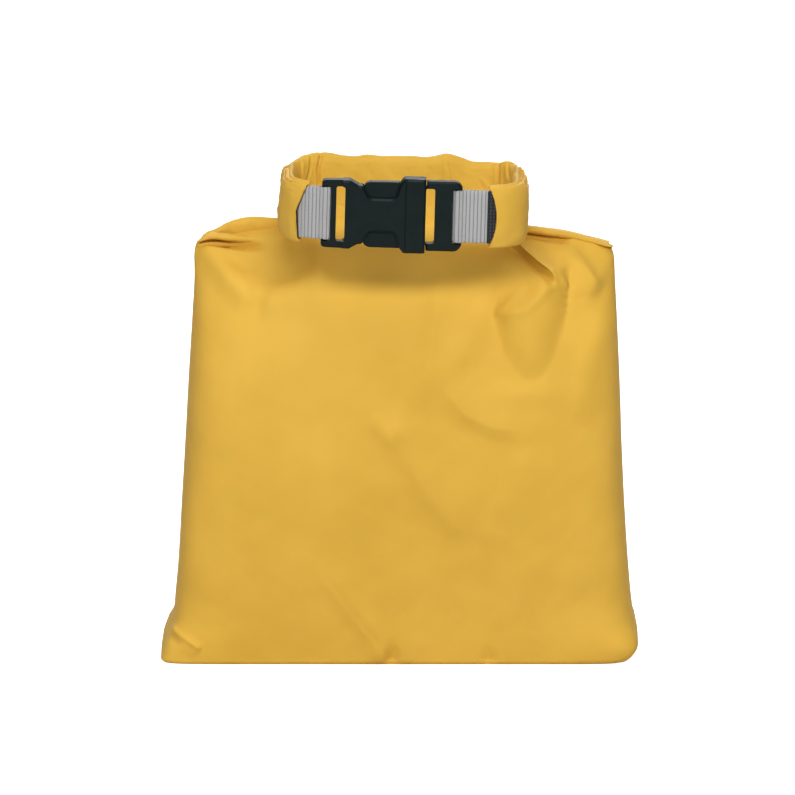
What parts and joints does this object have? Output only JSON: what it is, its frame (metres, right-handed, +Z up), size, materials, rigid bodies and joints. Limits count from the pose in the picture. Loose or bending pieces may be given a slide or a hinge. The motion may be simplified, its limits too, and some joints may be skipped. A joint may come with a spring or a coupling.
{
  "type": "stuff sack",
  "caption": "Small roll-top stuff sack standing on a flat base, its rolled mouth bent into a ring and clipped in front with a side-release buckle on webbing tabs.",
  "frame": {"origin": "middle of the flat base's underside", "axes": "+Z up, the buckle and front panel face -Y, +X is to the right seen from the front"},
  "size_m": [0.179, 0.0785, 0.1887],
  "materials": {
    "coated_fabric": "coated nylon, satin sheen",
    "seam_tape": "translucent seam tape",
    "stiffener": "flexible plastic strip",
    "webbing": "ribbed polyester webbing",
    "buckle_plastic": "moulded acetal, satin"
  },
  "bodies": {
    "bag": {"front_panel": "coated_fabric", "back_panel": "coated_fabric", "base_panel": "coated_fabric", "side_tape_left": "seam_tape", "side_tape_right": "seam_tape", "base_tape": "seam_tape", "roll_rear": "coated_fabric", "stiffener_rear": "stiffener"},
    "left_arm": {"roll_left": "coated_fabric", "stiffener_left": "stiffener", "webbing_left": "webbing"},
    "right_arm": {"roll_right": "coated_fabric", "stiffener_right": "stiffener", "webbing_right": "webbing"},
    "socket": {"buckle_female": "buckle_plastic"},
    "plug": {"buckle_male": "buckle_plastic"},
    "upper_prong": {"prong_upper": "buckle_plastic"},
    "lower_prong": {"prong_lower": "buckle_plastic"}
  },
  "joints": [
    {"name": "left_arm_swing", "type": "hinge", "parent": "bag", "child": "left_arm", "pos_m": [-0.03599, 0.0143, 0.17556], "axis": [-0.0384, 0, -0.9993], "range_deg": [0, 80], "deforming": ["prong_upper", "prong_lower"]},
    {"name": "right_arm_swing", "type": "hinge", "parent": "bag", "child": "right_arm", "pos_m": [0.02699, 0.0143, 0.1738], "axis": [0.0175, 0, 0.9998], "range_deg": [0, 80]},
    {"name": "socket_turn", "type": "hinge", "parent": "left_arm", "child": "socket", "pos_m": [-0.02959, -0.0418, 0.17538], "axis": [0.0384, 0, 0.9993], "range_deg": [0, 80]},
    {"name": "plug_turn", "type": "hinge", "parent": "right_arm", "child": "plug", "pos_m": [0.02059, -0.0418, 0.17397], "axis": [-0.0175, 0, -0.9998], "range_deg": [0, 80]},
    {"name": "prong_upper_squeeze", "type": "hinge", "parent": "plug", "child": "upper_prong", "pos_m": [0.00663, -0.0418, 0.18267], "axis": [0, -1, 0], "range_deg": [0, 11], "stiffness_Nm_per_rad": 0.6},
    {"name": "prong_lower_squeeze", "type": "hinge", "parent": "plug", "child": "lower_prong", "pos_m": [0.00617, -0.0418, 0.16607], "axis": [0, 1, 0], "range_deg": [0, 11], "stiffness_Nm_per_rad": 0.6}
  ],
  "couplings": [
    {"joint": "right_arm_swing", "follows": "left_arm_swing", "ratio": 1},
    {"joint": "socket_turn", "follows": "left_arm_swing", "ratio": 1},
    {"joint": "plug_turn", "follows": "left_arm_swing", "ratio": 1}
  ]
}
